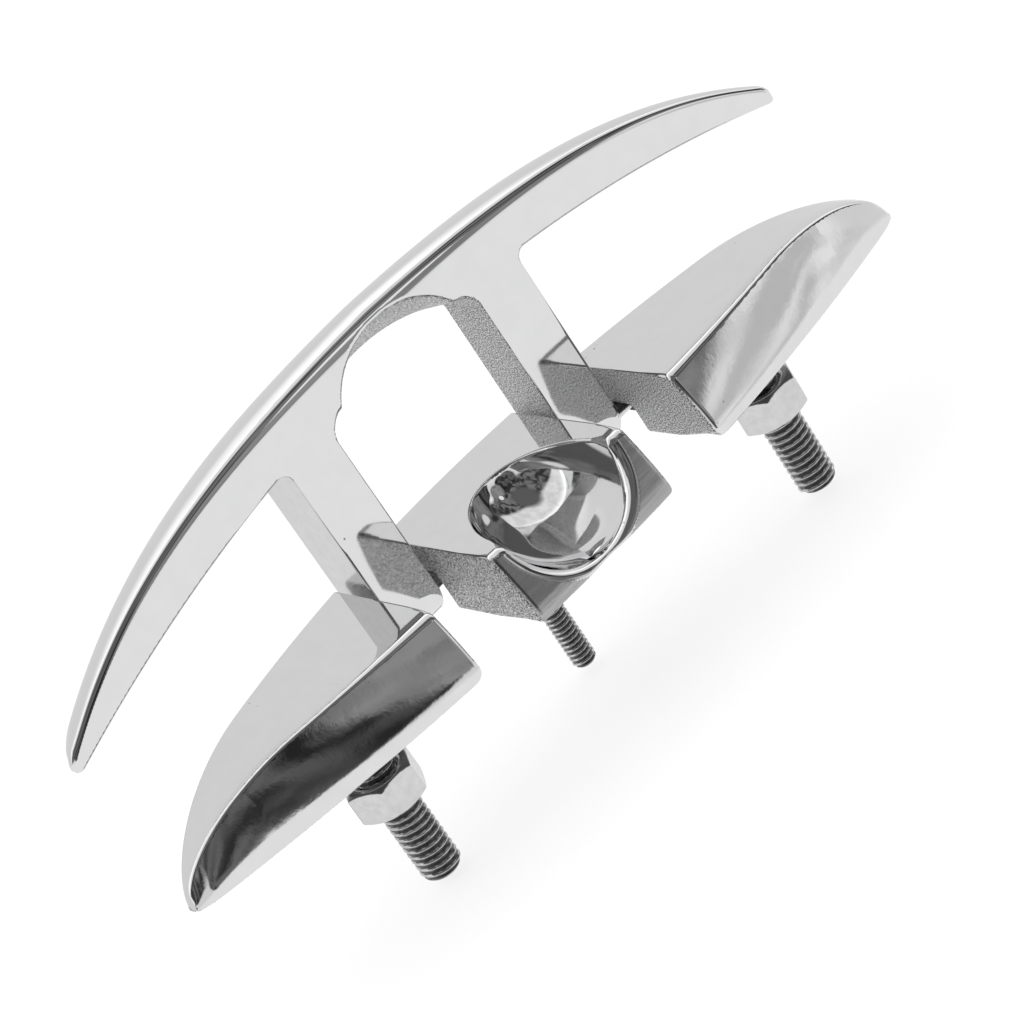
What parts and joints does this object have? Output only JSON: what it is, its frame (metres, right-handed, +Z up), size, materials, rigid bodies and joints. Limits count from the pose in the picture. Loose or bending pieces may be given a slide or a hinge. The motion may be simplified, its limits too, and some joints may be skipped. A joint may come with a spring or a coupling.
{
  "type": "folding mooring cleat",
  "caption": "Folding mooring cleat in polished steel: a crescent horn on legs, hinged in a split leaf-shaped base with a finger scoop and threaded mounting studs.",
  "frame": {"origin": "on the deck plane, the underside of the centre block, midway along the cleat and in line with the two outer studs", "axes": "+X along the cleat, +Y towards its back edge, away from the finger scoop, +Z up from the deck"},
  "size_m": [0.187, 0.041, 0.0842],
  "materials": {
    "polished_steel": "mirror polished, rough cast on the legs' inner sides",
    "cast_steel": "mirror polished top and front, rough cast sides",
    "bright_steel": "satin",
    "threaded_steel": "rolled thread"
  },
  "bodies": {
    "base": {"centre_block": "cast_steel", "left_end": "cast_steel", "right_end": "cast_steel", "left_pin": "bright_steel", "right_pin": "bright_steel", "left_stud": "threaded_steel", "right_stud": "threaded_steel", "centre_stud": "threaded_steel", "left_nut": "bright_steel", "right_nut": "bright_steel"},
    "horn": {"horn": "polished_steel"}
  },
  "joints": [
    {"name": "horn_fold", "type": "hinge", "parent": "base", "child": "horn", "pos_m": [0, 0.0118, 0.0045], "axis": [1, 0, 0], "range_deg": [0, 90]}
  ]
}
